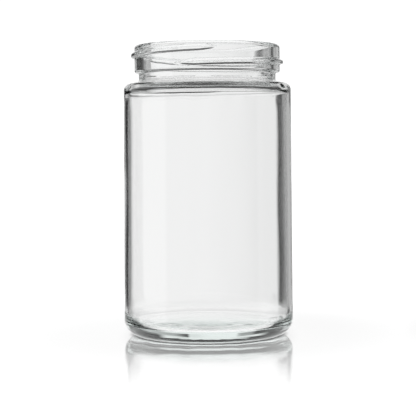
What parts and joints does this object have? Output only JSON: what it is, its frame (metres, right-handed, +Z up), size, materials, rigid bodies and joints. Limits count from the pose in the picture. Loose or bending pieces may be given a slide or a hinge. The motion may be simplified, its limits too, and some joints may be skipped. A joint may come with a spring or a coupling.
{
  "type": "specimen jar",
  "caption": "Clear glass wide-mouth specimen jar, straight-sided, with an external screw-thread neck, a thick pushed-up base and no lid.",
  "frame": {"origin": "centre of the standing ring, on the surface that the jar stands on", "axes": "+Z up along the jar's axis, out of its mouth; -Y is the front, where the lower end of the thread fades in just left of the middle"},
  "size_m": [0.063, 0.063, 0.1078],
  "materials": {
    "clear_glass": "fire-polished clear soda-lime glass, faint green where it is thick"
  },
  "bodies": {
    "root": {"glass_jar": "clear_glass"}
  },
  "joints": []
}
